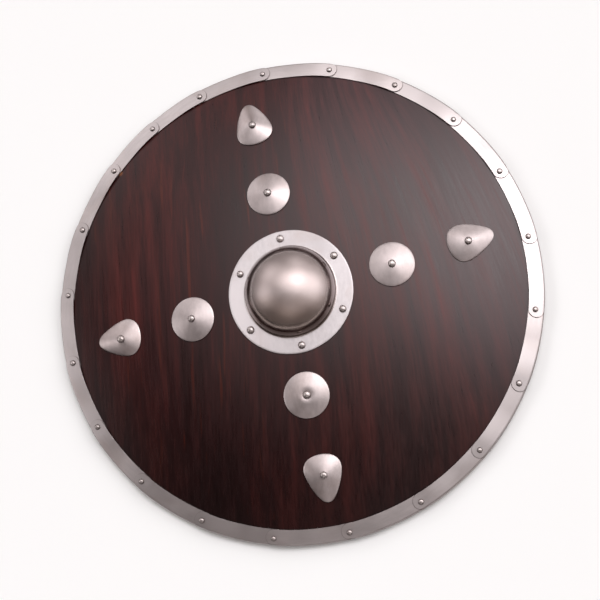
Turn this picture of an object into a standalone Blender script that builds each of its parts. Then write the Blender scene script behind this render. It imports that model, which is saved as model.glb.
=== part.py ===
"""A round wooden shield: domed board, riveted steel rim, hollow steel boss, eight steel plates.

The shield lies on its back. The rim's back flange rests on z = 0, the boss points up (+Z),
the board's grain runs along Y, and the origin is on the floor under the boss.
Lengths are in metres, written as millimetres times MM. Angles are in degrees, anticlockwise from +X.
"""

from math import asin, cos, degrees, pi, radians, sin, sqrt

import bmesh
import bpy
from mathutils import Matrix, Vector

MM = 0.001

# Clearances between neighbouring solids
GAP = 0.3 * MM
EDGE_GAP = 0.8 * MM

# Whole shield
SHIELD_RADIUS = 305 * MM
DOME_RISE = 24 * MM
BOARD_THICKNESS = 12 * MM
HAND_HOLE_RADIUS = 54 * MM

# Rim: a ring of U-section steel strips, each riveted over the start of the next one clockwise
SHEET = 1.2 * MM
RIM_WIDTH = 18.6 * MM
RIM_BACK_WIDTH = 16 * MM
RIM_BEND = 1.6 * MM
RIM_SEGMENTS = 21
RIM_SPANS = 3
SHORT_SEGMENTS = (17, 18)
SHORT_ARC = 14.85
FIRST_RIVET_ANGLE = 80.0
SPACING_DRIFT = 1.5
SPACING_DRIFT_ANGLE = 31.0
LAP_STEP = SHEET + GAP
LAP_TUCK = 8 * MM
# On its side and back a strip stops this far short of the next strip's first rivet
SIDE_JOINT = 6 * MM
SIDE_GAP = 0.45 * MM

# Boss
BOSS_RADIUS = 56 * MM
BOSS_RISE = 40 * MM
BOSS_SHEET = 1.5 * MM
BOSS_FILLET = 2.5 * MM
FLANGE_RADIUS = 77.5 * MM
BOSS_RIVET_RADIUS = 68 * MM
BOSS_RIVET_ANGLES = (38.6, 101.6, 159.3, 222.8, 281.3, 339.3)

# Plates: four arms of a cross, each a direction and the lean of its plates off that direction
ARMS = ((13.6, 4.5), (102.8, 4.0), (193.3, -7.0), (279.6, -2.0))
ROUND_PLATE_DISTANCE = 128.5 * MM
TEARDROP_DISTANCE = 224 * MM
ROUND_PLATE_RADIUS = 27.6 * MM
ROUND_PLATE_HEIGHT = 6 * MM
TEARDROP_HEIGHT = 7 * MM
# A teardrop's outline is a mean radius plus waves: harmonic number and size
TEARDROP_MEAN_RADIUS = 25.4 * MM
TEARDROP_WAVES = ((1, 0.6 * MM), (2, 3.1 * MM), (3, 2.75 * MM), (5, 0.87 * MM))
PLATE_SIDES = 16

# Rivets: head radius, head height, shank radius
# A rim rivet is driven into the board and stops above the rim's back flange, which stays whole
RIM_RIVET = (3.75 * MM, 2.6 * MM, 1.9 * MM)
RIM_RIVET_DEPTH = 9 * MM
BOSS_RIVET = (4.6 * MM, 3.5 * MM, 2.3 * MM)
PLATE_RIVET = (4.7 * MM, 3.6 * MM, 2.3 * MM)
# A head's round shoulder lies at these fractions of its radius and height
HEAD_SHOULDER = (0.62, 0.78)
# A plate's hole is smaller than its rivet and the head sinks into the sheet, so that the two fuse
PLATE_HOLE_RADIUS = 1.84 * MM
HEAD_SINK = 0.36 * MM
TAIL_RADIUS = 3.6 * MM
TAIL_HEIGHT = 1.2 * MM
RIVET_SIDES = 8
RIM_RIVET_SIDES = 6
HOLE_SIDES = 6
# The pins that cut the rivet holes reach this far above the face and, for a through hole, below it
PIN_ABOVE = 20 * MM
PIN_BELOW = 45 * MM

# Grip: a wooden bar across the hand hole, held by two opposite boss rivets
GRIP_RIVETS = (2, 5)
GRIP_LENGTH = 172 * MM
GRIP_WIDTH = 30 * MM
GRIP_WAIST = 25 * MM
GRIP_THICKNESS = 15 * MM
GRIP_EDGE = 4 * MM
GRIP_SPANS = 4

# Fineness of the turned pieces: steps round the axis, and points down the dome outside and inside
BOARD_STEPS = 40
BOSS_STEPS = 28
DOME_POINTS_OUTSIDE = 7
DOME_POINTS_INSIDE = 5
MERGE = 0.00001

# Levels that follow from the sizes above
RIM_START_RADIUS = SHIELD_RADIUS - LAP_STEP
RIM_INNER_RADIUS = SHIELD_RADIUS - RIM_WIDTH
RIM_RIVET_RADIUS = SHIELD_RADIUS - RIM_WIDTH / 2 - GAP
BOARD_RADIUS = RIM_START_RADIUS - SHEET - EDGE_GAP
SPHERE_RADIUS = (BOARD_RADIUS**2 + DOME_RISE**2) / (2 * DOME_RISE)
BOARD_RINGS = (HAND_HOLE_RADIUS, 110 * MM, 165 * MM, 220 * MM, RIM_INNER_RADIUS, BOARD_RADIUS)
PLANED_Z = SHEET + GAP


def sag(radius):
    """How far the domed face has dropped below its crown at this radius."""
    return SPHERE_RADIUS - sqrt(SPHERE_RADIUS**2 - radius**2)


CROWN_Z = PLANED_Z + BOARD_THICKNESS + sag(RIM_INNER_RADIUS)
FLANGE_Z = CROWN_Z - sag(BOSS_RADIUS) + GAP
GRIP_TOP_Z = CROWN_Z - BOARD_THICKNESS - sag(GRIP_LENGTH / 2) - GAP


def face_z(radius):
    """Height of the board's front face."""
    return CROWN_Z - sag(radius)


def back_z(radius):
    """Height of the board's back, which is planed flat where the rim wraps it."""
    return max(PLANED_Z, face_z(radius) - BOARD_THICKNESS)


def polar(radius, angle, height=0.0):
    return Vector((radius * cos(radians(angle)), radius * sin(radians(angle)), height))


def seat(radius, angle, lift=0.0, turn=0.0):
    """Frame standing on the domed face: Z along its normal, X pointing outward, lifted along Z."""
    lean = asin(radius / SPHERE_RADIUS)
    place = Matrix.Translation(polar(radius, angle, face_z(radius)))
    turned_out = Matrix.Rotation(radians(angle), 4, "Z")
    leaned = Matrix.Rotation(lean, 4, "Y")
    raised = Matrix.Translation((0, 0, lift))
    return place @ turned_out @ leaned @ raised @ Matrix.Rotation(radians(turn), 4, "Z")


def clear_scene():
    for obj in list(bpy.data.objects):
        bpy.data.objects.remove(obj, do_unlink=True)


def make_collection(name):
    collection = bpy.data.collections.new(name)
    bpy.context.scene.collection.children.link(collection)
    return collection


def make_material(name, color, roughness, metallic):
    material = bpy.data.materials.new(name)
    material.use_nodes = True
    shader = material.node_tree.nodes["Principled BSDF"]
    shader.inputs["Base Color"].default_value = (*color, 1.0)
    shader.inputs["Roughness"].default_value = roughness
    shader.inputs["Metallic"].default_value = metallic
    return material


def add_object(name, mesh, collection, material=None, place=None):
    obj = bpy.data.objects.new(name, mesh)
    collection.objects.link(obj)
    if material is not None:
        mesh.materials.clear()
        mesh.materials.append(material)
    if place is not None:
        obj.matrix_world = place
    return obj


def mesh_from(bm, name):
    mesh = bpy.data.meshes.new(name)
    bm.to_mesh(mesh)
    bm.free()
    return mesh


def hide_tool(obj):
    """Mark an object as a cutter or a tool for a union, so that it is no part of the shield."""
    obj.hide_render = True
    obj.display_type = "WIRE"


def boolean(obj, other, operation):
    modifier = obj.modifiers.new(operation.lower(), "BOOLEAN")
    modifier.object = other
    modifier.operation = operation
    modifier.solver = "EXACT"


def turned(name, profile, steps, collection, material=None, place=None, closed=False):
    """A solid of revolution: the profile's (radius, height) points turned about Z by a Screw."""
    mesh = bpy.data.meshes.new(name)
    edges = [(i, i + 1) for i in range(len(profile) - 1)]
    if closed:
        edges.append((len(profile) - 1, 0))
    mesh.from_pydata([(radius, 0.0, height) for radius, height in profile], edges, [])
    obj = add_object(name, mesh, collection, material, place)
    screw = obj.modifiers.new("turn", "SCREW")
    screw.steps = steps
    screw.render_steps = steps
    screw.use_merge_vertices = True
    screw.merge_threshold = MERGE
    screw.use_smooth_shade = True
    return obj


def rivet_profile(head_radius, head_height, shank_radius, length, tail):
    """A round-headed rivet from the top of its head down: z = 0 is the seat of the head."""
    points = [
        (0.0, head_height),
        (HEAD_SHOULDER[0] * head_radius, HEAD_SHOULDER[1] * head_height),
        (head_radius, 0.0),
        (shank_radius, 0.0),
        (shank_radius, -length),
    ]
    if tail:
        points.append((TAIL_RADIUS, -length))
        length += TAIL_HEIGHT
    points.append((0.0, -length))
    return points


# Rim layout ---------------------------------------------------------------------------------------


def rim_rivet_angles():
    """Rivets go round clockwise in equal steps, but for two short ones, and drift a little by hand."""
    full_arc = (360 - len(SHORT_SEGMENTS) * SHORT_ARC) / (RIM_SEGMENTS - len(SHORT_SEGMENTS))
    angles = []
    even = FIRST_RIVET_ANGLE
    for index in range(RIM_SEGMENTS):
        drift = SPACING_DRIFT * cos(radians(even - SPACING_DRIFT_ANGLE))
        angles.append(even + drift)
        even -= SHORT_ARC if index in SHORT_SEGMENTS else full_arc
    return angles


def lap_rise(travelled, arc_length):
    """A strip starts on the board and climbs along its length, to clear the start of the next."""
    return LAP_STEP * max(0.0, travelled) / (arc_length - LAP_TUCK)


def rim_section():
    """Pairs of (outer, inner) points of the U, each (radius, height, on the front), and two reaches.

    The reaches are how far the strip runs past its first and its last rivet at those points.
    The front flange ends in a half-round tongue. The side and back end short of the rivet.
    """
    half = RIM_WIDTH / 2
    outside = RIM_START_RADIUS
    inside = outside - SHEET
    bend = outside - RIM_BEND
    back_edge = outside - RIM_BACK_WIDTH
    corner_top = face_z(bend) + GAP + SHEET - RIM_BEND
    tuck = LAP_TUCK - GAP
    start = SIDE_JOINT - SIDE_GAP

    def front(offset, inner_offset, first_reach):
        radius = outside - half + offset
        inner_radius = outside - half + inner_offset
        top = face_z(radius) + GAP + SHEET
        tongue = sqrt(half**2 - offset**2)
        return ((radius, top, True), (inner_radius, top - SHEET, True), first_reach, tongue)

    return [
        front(-half, -half, start),
        front(-half / 2, -half / 2, tuck),
        front(half / 2, half / 2, tuck),
        front(half - RIM_BEND, half - SHEET, start),
        ((outside, corner_top, True), (inside, corner_top, True), start, -SIDE_JOINT),
        ((outside, 0.0, False), (inside, SHEET, False), start, -SIDE_JOINT),
        ((back_edge, 0.0, False), (back_edge, SHEET, False), start, -SIDE_JOINT),
    ]


def rim_segment_mesh(name, first_angle, arc):
    """Loft of the U along an arc: one ring of points at each station, closed by strips at the ends."""
    section = rim_section()
    bm = bmesh.new()

    def ring(station):
        outer, inner = [], []
        for outer_point, inner_point, first_reach, last_reach in section:
            travelled = arc * station / RIM_SPANS
            if station == 0:
                travelled = -first_reach
            if station == RIM_SPANS:
                travelled = arc + last_reach
            angle = first_angle - degrees(travelled / RIM_RIVET_RADIUS)
            rise = lap_rise(travelled, arc)
            for (radius, height, on_front), points in ((outer_point, outer), (inner_point, inner)):
                lifted = height + rise if on_front else height
                points.append(bm.verts.new(polar(radius + rise, angle, lifted)))
        return outer + inner[::-1]

    rings = [ring(station) for station in range(RIM_SPANS + 1)]
    count = len(rings[0])
    for near, far in zip(rings, rings[1:]):
        for i in range(count):
            j = (i + 1) % count
            bm.faces.new((near[i], near[j], far[j], far[i]))
    for end in (rings[0], rings[-1]):
        for i in range(count // 2 - 1):
            bm.faces.new((end[i], end[i + 1], end[count - 2 - i], end[count - 1 - i]))
    bmesh.ops.triangulate(bm, faces=bm.faces)
    bmesh.ops.recalc_face_normals(bm, faces=bm.faces)
    return mesh_from(bm, name)


# Plates -------------------------------------------------------------------------------------------


def round_outline(angle):
    return ROUND_PLATE_RADIUS


def teardrop_outline(angle):
    """Rounded triangle with its narrow tip at angle 0."""
    waves = sum(size * cos(number * angle) for number, size in TEARDROP_WAVES)
    return TEARDROP_MEAN_RADIUS + waves


def plate_mesh(name, outline, height):
    """Pressed sheet: a shallow hollow cone from the outline up to the rivet at its apex."""
    bm = bmesh.new()
    rings = []
    for step in range(PLATE_SIDES):
        angle = 2 * pi * step / PLATE_SIDES
        edge = outline(angle)
        corners = [
            (edge, 0.0),
            (edge, SHEET),
            (PLATE_HOLE_RADIUS, height),
            (PLATE_HOLE_RADIUS, height - SHEET),
        ]
        rings.append([bm.verts.new((r * cos(angle), r * sin(angle), z)) for r, z in corners])
    for step in range(PLATE_SIDES):
        near, far = rings[step], rings[(step + 1) % PLATE_SIDES]
        for i in range(len(near)):
            j = (i + 1) % len(near)
            bm.faces.new((near[i], near[j], far[j], far[i]))
    bmesh.ops.recalc_face_normals(bm, faces=bm.faces)
    return mesh_from(bm, name)


# Pieces -------------------------------------------------------------------------------------------


def board_profile():
    """Section of the board: front face out to the edge, planed land, back face in to the hole."""
    front = [(radius, face_z(radius)) for radius in BOARD_RINGS]
    back = [(radius, back_z(radius)) for radius in reversed(BOARD_RINGS)]
    return front + back


def boss_wall(inset, dome_points):
    """One side of the boss's wall, this far in from the outside: the dome, then a fillet.

    It is worked out as a ball from its top down and an arc out to the flange. Heights above the
    flange are then flattened to the dome's rise, which makes the section half an ellipse.
    """
    foot_z = FLANGE_Z + BOSS_SHEET
    ball_radius = BOSS_RADIUS - inset
    flattening = (BOSS_RISE - inset) / ball_radius
    reach = BOSS_RADIUS + BOSS_FILLET
    fillet_radius = reach - ball_radius
    meeting = asin(BOSS_FILLET / reach)
    section = [(0.0, ball_radius)]
    for i in range(1, dome_points):
        tilt = pi / 2 - (pi / 2 - meeting) * i / (dome_points - 1)
        section.append((ball_radius * cos(tilt), ball_radius * sin(tilt)))
    for tilt in ((meeting + pi / 2) / 2, pi / 2):
        across = reach * cos(meeting) - fillet_radius * cos(tilt)
        section.append((across, BOSS_FILLET - fillet_radius * sin(tilt)))
    return [(across, foot_z + min(up, up * flattening)) for across, up in section]


def boss_profile():
    """Section of the boss: dome, fillet and flange outside, then back inside at sheet thickness."""
    outside = boss_wall(0.0, DOME_POINTS_OUTSIDE)
    inside = boss_wall(BOSS_SHEET, DOME_POINTS_INSIDE)
    edge_z = face_z(FLANGE_RADIUS) + GAP
    outside.append((FLANGE_RADIUS, edge_z + BOSS_SHEET))
    inside.append((FLANGE_RADIUS, edge_z))
    return outside + inside[::-1]


def make_board(collection, material, holes):
    board = turned("board", board_profile(), BOARD_STEPS, collection, material, closed=True)
    boolean(board, holes, "DIFFERENCE")


def make_boss(collection, material, holes):
    boss = turned("boss", boss_profile(), BOSS_STEPS, collection, material)
    boolean(boss, holes, "DIFFERENCE")


def make_rim(collection, steel, rivet_steel, holes):
    """Each strip, and the rivet at its start, which holds the end of the strip before it too."""
    angles = rim_rivet_angles()
    for index, angle in enumerate(angles):
        before = RIM_RIVET_RADIUS * radians((angles[index - 1] - angle) % 360)
        after = RIM_RIVET_RADIUS * radians((angle - angles[(index + 1) % RIM_SEGMENTS]) % 360)

        name = f"rim_segment_{index + 1:02d}"
        segment = add_object(name, rim_segment_mesh(name, angle, after), collection, steel)
        boolean(segment, holes, "DIFFERENCE")

        lift = 2 * GAP + SHEET + lap_rise(before, before)
        profile = rivet_profile(*RIM_RIVET, lift + RIM_RIVET_DEPTH, tail=False)
        place = seat(RIM_RIVET_RADIUS, angle, lift)
        rivet_name = f"rim_rivet_{index + 1:02d}"
        turned(rivet_name, profile, RIM_RIVET_SIDES, collection, rivet_steel, place)


def make_boss_rivets(collection, material):
    for index, angle in enumerate(BOSS_RIVET_ANGLES):
        lift = 2 * GAP + BOSS_SHEET
        through = BOARD_THICKNESS + GAP
        if index in GRIP_RIVETS:
            drop = face_z(BOSS_RIVET_RADIUS) - GRIP_TOP_Z
            through = drop + GRIP_THICKNESS + GAP
        profile = rivet_profile(*BOSS_RIVET, lift + through, tail=True)
        place = seat(BOSS_RIVET_RADIUS, angle, lift)
        turned(f"boss_rivet_{index + 1}", profile, RIVET_SIDES, collection, material, place)


def make_plates(collection, tools, material):
    """Each plate and the rivet through it are one node: a union of the sheet and the rivet."""
    kinds = (
        ("round_plate", ROUND_PLATE_DISTANCE, round_outline, ROUND_PLATE_HEIGHT),
        ("teardrop_plate", TEARDROP_DISTANCE, teardrop_outline, TEARDROP_HEIGHT),
    )
    for kind, distance, outline, height in kinds:
        shared = plate_mesh(kind, outline, height)
        head_seat = height - HEAD_SINK
        length = head_seat + BOARD_THICKNESS + 2 * GAP
        profile = rivet_profile(*PLATE_RIVET, length, tail=True)
        for index, (angle, lean) in enumerate(ARMS):
            name = f"{kind}_{index + 1}"
            place = seat(distance, angle, GAP, lean)
            plate = add_object(name, shared, collection, material, place)
            rivet_place = seat(distance, angle, GAP + head_seat)
            rivet = turned(f"{name}_rivet", profile, RIVET_SIDES, tools, material, rivet_place)
            hide_tool(rivet)
            boolean(plate, rivet, "UNION")


def make_grip(collection, material, holes):
    """Flat bar with a narrower waist and rounded edges, lying across the hand hole."""
    bm = bmesh.new()
    bmesh.ops.create_cube(bm, size=1.0)
    bmesh.ops.scale(bm, vec=(GRIP_LENGTH, GRIP_WIDTH, GRIP_THICKNESS), verts=bm.verts)
    for i in range(1, GRIP_SPANS):
        where = GRIP_LENGTH * (i / GRIP_SPANS - 0.5)
        parts = list(bm.verts) + list(bm.edges) + list(bm.faces)
        bmesh.ops.bisect_plane(bm, geom=parts, plane_co=(where, 0, 0), plane_no=(1, 0, 0))
    for vert in bm.verts:
        along = abs(vert.co.x) / (GRIP_LENGTH / 2)
        width = GRIP_WAIST + (GRIP_WIDTH - GRIP_WAIST) * along**2
        vert.co.y *= width / GRIP_WIDTH
    first, second = (BOSS_RIVET_ANGLES[i] for i in GRIP_RIVETS)
    direction = (first + second - 180) / 2
    middle = Matrix.Translation((0, 0, GRIP_TOP_Z - GRIP_THICKNESS / 2))
    place = middle @ Matrix.Rotation(radians(direction), 4, "Z")
    grip = add_object("grip", mesh_from(bm, "grip"), collection, material, place)
    bevel = grip.modifiers.new("round_edges", "BEVEL")
    bevel.width = GRIP_EDGE
    bevel.segments = 1
    bevel.limit_method = "ANGLE"
    boolean(grip, holes, "DIFFERENCE")


def make_holes(tools):
    """One tool that holds a straight pin for every rivet hole of the board, boss, rim and grip."""
    blind = RIM_RIVET_DEPTH + GAP
    pins = [(RIM_RIVET_RADIUS, angle, RIM_RIVET[2], blind) for angle in rim_rivet_angles()]
    pins += [(BOSS_RIVET_RADIUS, angle, BOSS_RIVET[2], PIN_BELOW) for angle in BOSS_RIVET_ANGLES]
    for distance in (ROUND_PLATE_DISTANCE, TEARDROP_DISTANCE):
        pins += [(distance, angle, PLATE_RIVET[2], PIN_BELOW) for angle, _ in ARMS]
    bm = bmesh.new()
    for distance, angle, shank, below in pins:
        # The flats of the hole, not its corners, clear the shank
        radius = (shank + GAP) / cos(pi / HOLE_SIDES)
        bmesh.ops.create_cone(
            bm,
            cap_ends=True,
            segments=HOLE_SIDES,
            radius1=radius,
            radius2=radius,
            depth=PIN_ABOVE + below,
            matrix=seat(distance, angle, (PIN_ABOVE - below) / 2),
        )
    holes = add_object("rivet_holes", mesh_from(bm, "rivet_holes"), tools)
    hide_tool(holes)
    return holes


def main():
    clear_scene()
    shield = make_collection("round_shield")
    tools = make_collection("tools")
    board_wood = make_material("board_wood", (0.055, 0.022, 0.018), 0.38, 0.0)
    grip_wood = make_material("grip_wood", (0.07, 0.03, 0.02), 0.5, 0.0)
    rim_steel = make_material("rim_steel", (0.56, 0.53, 0.52), 0.36, 1.0)
    boss_steel = make_material("boss_steel", (0.55, 0.51, 0.50), 0.24, 1.0)
    plate_steel = make_material("plate_steel", (0.58, 0.55, 0.54), 0.34, 1.0)
    rivet_steel = make_material("rivet_steel", (0.48, 0.45, 0.44), 0.32, 1.0)

    holes = make_holes(tools)
    make_board(shield, board_wood, holes)
    make_grip(shield, grip_wood, holes)
    make_boss(shield, boss_steel, holes)
    make_boss_rivets(shield, rivet_steel)
    make_plates(shield, tools, plate_steel)
    make_rim(shield, rim_steel, rivet_steel, holes)


main()
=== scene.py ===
"""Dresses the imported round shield: stained domed board, lapped steel rim, raised boss, pressed plates.

It is laid out as a Blender add-on. Each operator makes one kind of piece as a surface worked out
with numpy, gives it its own procedural finish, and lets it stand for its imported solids. Places and
main sizes are read from those solids. Lengths are in metres and angles in radians from +X.
"""

from math import atan2, cos, log, pi, radians, sin, sqrt, tan

import bmesh
import bpy
import numpy as np
from bpy.props import FloatProperty, FloatVectorProperty, PointerProperty
from mathutils import Matrix, Vector


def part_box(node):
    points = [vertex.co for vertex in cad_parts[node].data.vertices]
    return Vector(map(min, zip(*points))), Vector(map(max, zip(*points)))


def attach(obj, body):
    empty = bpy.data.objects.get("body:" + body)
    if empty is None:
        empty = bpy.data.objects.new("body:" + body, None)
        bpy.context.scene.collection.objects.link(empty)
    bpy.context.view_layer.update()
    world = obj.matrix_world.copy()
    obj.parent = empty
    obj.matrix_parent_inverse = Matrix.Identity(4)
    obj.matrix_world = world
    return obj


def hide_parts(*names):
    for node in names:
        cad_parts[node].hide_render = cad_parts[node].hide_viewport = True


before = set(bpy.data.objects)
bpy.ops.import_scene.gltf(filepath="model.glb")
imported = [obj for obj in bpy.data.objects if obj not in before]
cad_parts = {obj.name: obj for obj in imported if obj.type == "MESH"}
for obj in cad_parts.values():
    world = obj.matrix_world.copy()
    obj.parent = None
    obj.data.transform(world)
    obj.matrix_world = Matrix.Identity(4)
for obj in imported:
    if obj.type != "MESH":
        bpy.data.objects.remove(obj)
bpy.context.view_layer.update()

bl_info = {
    "name": "Round Shield",
    "version": (1, 0, 0),
    "blender": (4, 5, 0),
    "location": "3D View > Sidebar > Shield",
    "description": "Builds a stained wooden round shield with a lapped steel rim, a boss and plates",
    "category": "Add Mesh",
}

MM = 0.001
GAP = 0.3 * MM
SHEET = 1.2 * MM
MIDDLE = (0.0, 0.0, 0.0)
BLACK = (0.0, 0.0, 0.0)
WHITE = (1.0, 1.0, 1.0)


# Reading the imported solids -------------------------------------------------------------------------


def node_points(name):
    """All corner points of one solid, as rows."""
    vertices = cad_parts[name].data.vertices
    points = np.empty(len(vertices) * 3)
    vertices.foreach_get("co", points)
    return points.reshape(-1, 3)


def nodes_named(start):
    return sorted(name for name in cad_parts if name.startswith(start))


def dome_of_board():
    """Height of the centre and radius of the ball that the board's face lies on.

    The ball passes through the upper edge of the hand hole and the upper outer edge. Equal
    distances from its centre to both rings give one linear equation for the centre's height.
    """
    points = node_points("board")
    across = np.hypot(points[:, 0], points[:, 1])
    hole = points[across < across.min() + MM]
    edge = points[across > across.max() - MM]
    near, near_z = across.min(), hole[:, 2].max()
    far, far_z = across.max(), edge[:, 2].max()
    centre_z = (near**2 - far**2 + near_z**2 - far_z**2) / (2 * (near_z - far_z))
    return centre_z, sqrt(near**2 + (near_z - centre_z) ** 2), near, far


DOME_CENTRE_Z, DOME_RADIUS, HAND_HOLE_RADIUS, BOARD_RADIUS = dome_of_board()


def face_z(radius):
    """Height of the board's domed face at this distance from the middle."""
    return DOME_CENTRE_Z + np.sqrt(DOME_RADIUS**2 - np.square(radius))


class Seat:
    """Place of a fitting on the dome: its origin, and its outward, sideways and upright directions.

    The upright is the dome's normal, from the ball's centre through the top of the rivet. The
    origin lies on that line, at the foot of the rivet's head, moved outward and aside by as much
    as the fitting was set off its mark.
    """

    def __init__(self, node, head_height, out=0.0, aside=0.0):
        self.points = node_points(node)
        top = self.points[self.points[:, 2].argmax()]
        centre = np.array((0.0, 0.0, DOME_CENTRE_Z))
        self.upright = (top - centre) / np.linalg.norm(top - centre)
        outward = np.array((top[0], top[1], 0.0))
        outward -= self.upright * (outward @ self.upright)
        self.outward = outward / np.linalg.norm(outward)
        self.sideways = np.cross(self.upright, self.outward)
        self.origin = top - self.upright * head_height
        self.origin += self.outward * out + self.sideways * aside
        self.angle = atan2(top[1], top[0])

    def local(self):
        """The solid's points as outward, sideways and upright distances from the origin."""
        axes = np.stack([self.outward, self.sideways, self.upright])
        return (self.points - self.origin) @ axes.T

    def placed(self, points):
        """Local points, whose last axis is (outward, sideways, upright), as points of the shield."""
        axes = np.stack([self.outward, self.sideways, self.upright])
        return self.origin + points @ axes


# Surfaces ------------------------------------------------------------------------------------------


def ripple(points, wavelength, seed, waves=14):
    """Smooth unevenness between about -1 and 1: a mean of plane waves in seeded random directions."""
    draw = np.random.default_rng(seed)
    direction = draw.normal(size=(waves, points.shape[-1]))
    direction /= np.linalg.norm(direction, axis=1)[:, None]
    length = wavelength * draw.uniform(0.7, 1.6, waves)
    phase = draw.uniform(0, 2 * pi, waves)
    return np.sin(2 * pi * points @ (direction / length[:, None]).T + phase).mean(-1) * 2.0


def grid_faces(rows, columns, wrap_rows, wrap_columns):
    """Quads between neighbours of a grid whose points run row by row, closed up where it wraps."""
    row = np.arange(rows if wrap_rows else rows - 1)[:, None]
    column = np.arange(columns if wrap_columns else columns - 1)[None, :]
    below, beside = (row + 1) % rows, (column + 1) % columns
    corners = (row * columns + column, below * columns + column)
    corners += (below * columns + beside, row * columns + beside)
    return np.stack(corners, -1).reshape(-1, 4)


def turned(profile, steps):
    """A profile of (radius, height) rows turned about Z: x = r cos a, y = r sin a, z = height."""
    angle = np.linspace(0, 2 * pi, steps, endpoint=False)
    radius, height = np.asarray(profile).T
    x = np.outer(radius, np.cos(angle))
    y = np.outer(radius, np.sin(angle))
    return np.stack([x, y, np.repeat(height[:, None], steps, 1)], -1)


def arc(centre, radius, start, end, count):
    """Points of a circular arc in the plane: centre + radius (cos t, sin t), ends included."""
    t = np.linspace(start, end, count)
    return [(centre[0] + radius * cos(a), centre[1] + radius * sin(a)) for a in t]


def make_piece(name, points, faces, material, nodes, values=None, sharp=40):
    """A finished piece of the shield from its points and the faces between them.

    Points that fall together, as at a pole, are merged, and the faces are turned outward. values
    holds named float vectors, one for each point.
    """
    mesh = bpy.data.meshes.new(name)
    mesh.from_pydata(points.reshape(-1, 3).tolist(), [], faces.tolist())
    for key, value in (values or {}).items():
        layer = mesh.attributes.new(key, "FLOAT_VECTOR", "POINT")
        layer.data.foreach_set("vector", np.ascontiguousarray(value, np.float32).ravel())
    bm = bmesh.new()
    bm.from_mesh(mesh)
    bmesh.ops.remove_doubles(bm, verts=bm.verts, dist=0.001 * MM)
    bmesh.ops.recalc_face_normals(bm, faces=bm.faces)
    bm.to_mesh(mesh)
    bm.free()
    mesh.shade_smooth()
    mesh.set_sharp_from_angle(angle=radians(sharp))
    mesh.materials.append(material)
    piece = bpy.data.objects.new(name, mesh)
    bpy.context.scene.collection.objects.link(piece)
    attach(piece, "root")
    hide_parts(*nodes)
    return piece


def grid_piece(name, grid, wrap, material, nodes):
    """A piece from a grid of points. wrap says whether its rows and its columns close up."""
    faces = grid_faces(*grid.shape[:2], *wrap)
    return make_piece(name, grid, faces, material, nodes)


def round_edges(piece, width, segments=2, angle=50):
    bevel = piece.modifiers.new("round_edges", "BEVEL")
    bevel.width = width
    bevel.segments = segments
    bevel.limit_method = "ANGLE"
    bevel.angle_limit = radians(angle)


# Finishes ------------------------------------------------------------------------------------------


def opaque(colour):
    """A colour as a shader wants it. A socket passes through."""
    return colour if isinstance(colour, bpy.types.NodeSocket) else (*colour[:3], 1.0)


def lighter(colour, share):
    """The colour scaled by this share, kept under full white."""
    return tuple(min(1.0, channel * share) for channel in colour)


class Nodes:
    """Short ways to add nodes to a shader tree. Each input is a value or another node's socket."""

    def __init__(self, owner):
        owner.use_nodes = True
        self.tree = owner.node_tree

    def feed(self, node, inputs):
        for key, value in inputs.items():
            socket = node.inputs[key]
            if isinstance(value, bpy.types.NodeSocket):
                self.tree.links.new(value, socket)
            else:
                socket.default_value = value

    def add(self, kind, inputs=None, **settings):
        node = self.tree.nodes.new("ShaderNode" + kind)
        for key, value in settings.items():
            setattr(node, key, value)
        self.feed(node, inputs or {})
        return node

    def math(self, operation, first, second=0.0, third=0.0):
        inputs = {0: first, 1: second, 2: third}
        return self.add("Math", inputs, operation=operation).outputs["Value"]

    def blend(self, share, first, second, kind="MIX"):
        """The first colour with this share of the second mixed in, or added."""
        inputs = {0: share, 6: opaque(first), 7: opaque(second)}
        return self.add("Mix", inputs, data_type="RGBA", blend_type=kind).outputs[2]


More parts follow.
